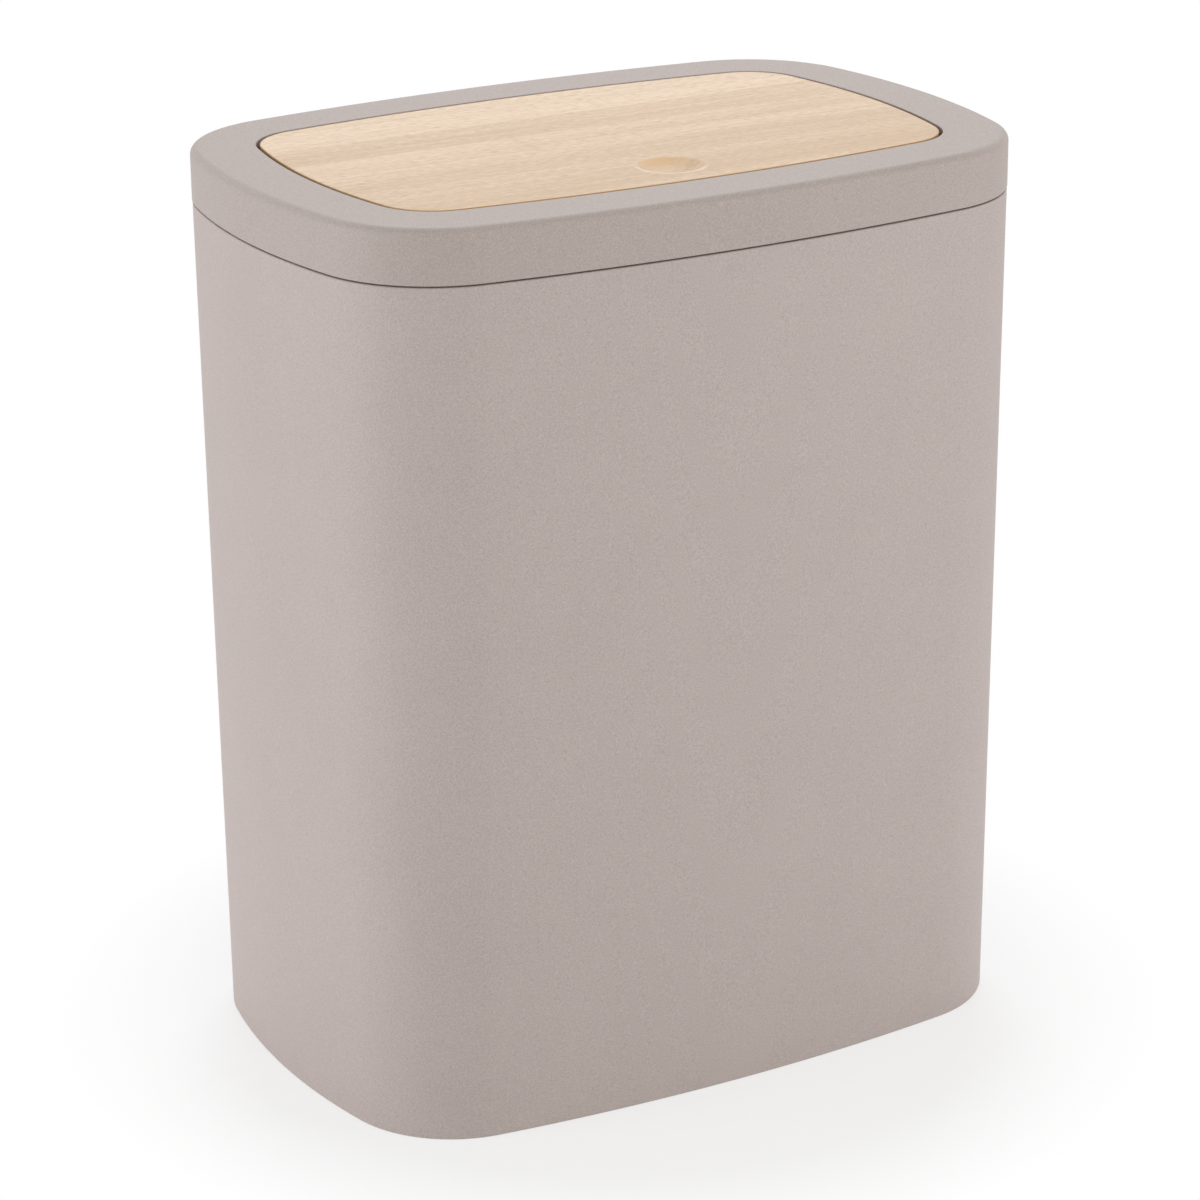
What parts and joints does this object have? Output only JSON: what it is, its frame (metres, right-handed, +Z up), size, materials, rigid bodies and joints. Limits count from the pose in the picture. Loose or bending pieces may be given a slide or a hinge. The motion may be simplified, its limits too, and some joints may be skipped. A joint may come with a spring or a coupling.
{
  "type": "bathroom bin",
  "caption": "Rounded rectangular bathroom bin in taupe plastic with a lift-off lid and a flush bamboo flap that a push latch releases.",
  "frame": {"origin": "on the floor under the middle of the bin", "axes": "+Z up, +X along the bin's width, -Y towards the front, which is the side with the finger dimple"},
  "size_m": [0.21, 0.1446, 0.25],
  "materials": {
    "shell_plastic": "fine grained taupe polypropylene",
    "lid_plastic": "fine grained taupe polypropylene",
    "inner_plastic": "plain taupe polypropylene",
    "bamboo": "sanded bamboo strips, matt lacquer",
    "latch_plastic": "smooth dark acetal",
    "steel": "zinc plated",
    "spring_steel": "drawn wire",
    "magnet_nickel": "nickel plated",
    "bumper_rubber": "matt"
  },
  "bodies": {
    "shell": {"bin_shell": "shell_plastic"},
    "lid": {"lid_ring": "lid_plastic", "lid_frame": "inner_plastic", "frame_screws": "steel", "hinge_pin_left": "steel", "hinge_pin_right": "steel", "hinge_spring_left": "spring_steel", "hinge_spring_right": "spring_steel", "latch_housing": "latch_plastic", "latch_spring": "spring_steel", "latch_cam_pin": "spring_steel", "latch_clip": "spring_steel", "latch_screws": "steel", "bumper_studs": "bumper_rubber"},
    "flap": {"flap_panel": "bamboo", "flap_carrier": "inner_plastic", "carrier_screws": "steel", "strike_plate": "steel", "strike_screws": "steel"},
    "plunger": {"latch_plunger": "latch_plastic", "latch_magnet": "magnet_nickel"}
  },
  "joints": [
    {"name": "lid_lift", "type": "slide", "parent": "shell", "child": "lid", "axis": [0, 0, 1], "range_m": [0, 0.12]},
    {"name": "flap_open", "type": "hinge", "parent": "lid", "child": "flap", "pos_m": [0, 0.01775, 0.2455], "axis": [-1, 0, 0], "range_deg": [0, 80]},
    {"name": "latch_plunge", "type": "slide", "parent": "lid", "child": "plunger", "axis": [0, 0, 1], "range_m": [-0.002, 0], "stiffness_N_per_m": 100, "springref_m": 0.0005, "deforming": ["latch_spring"]}
  ]
}
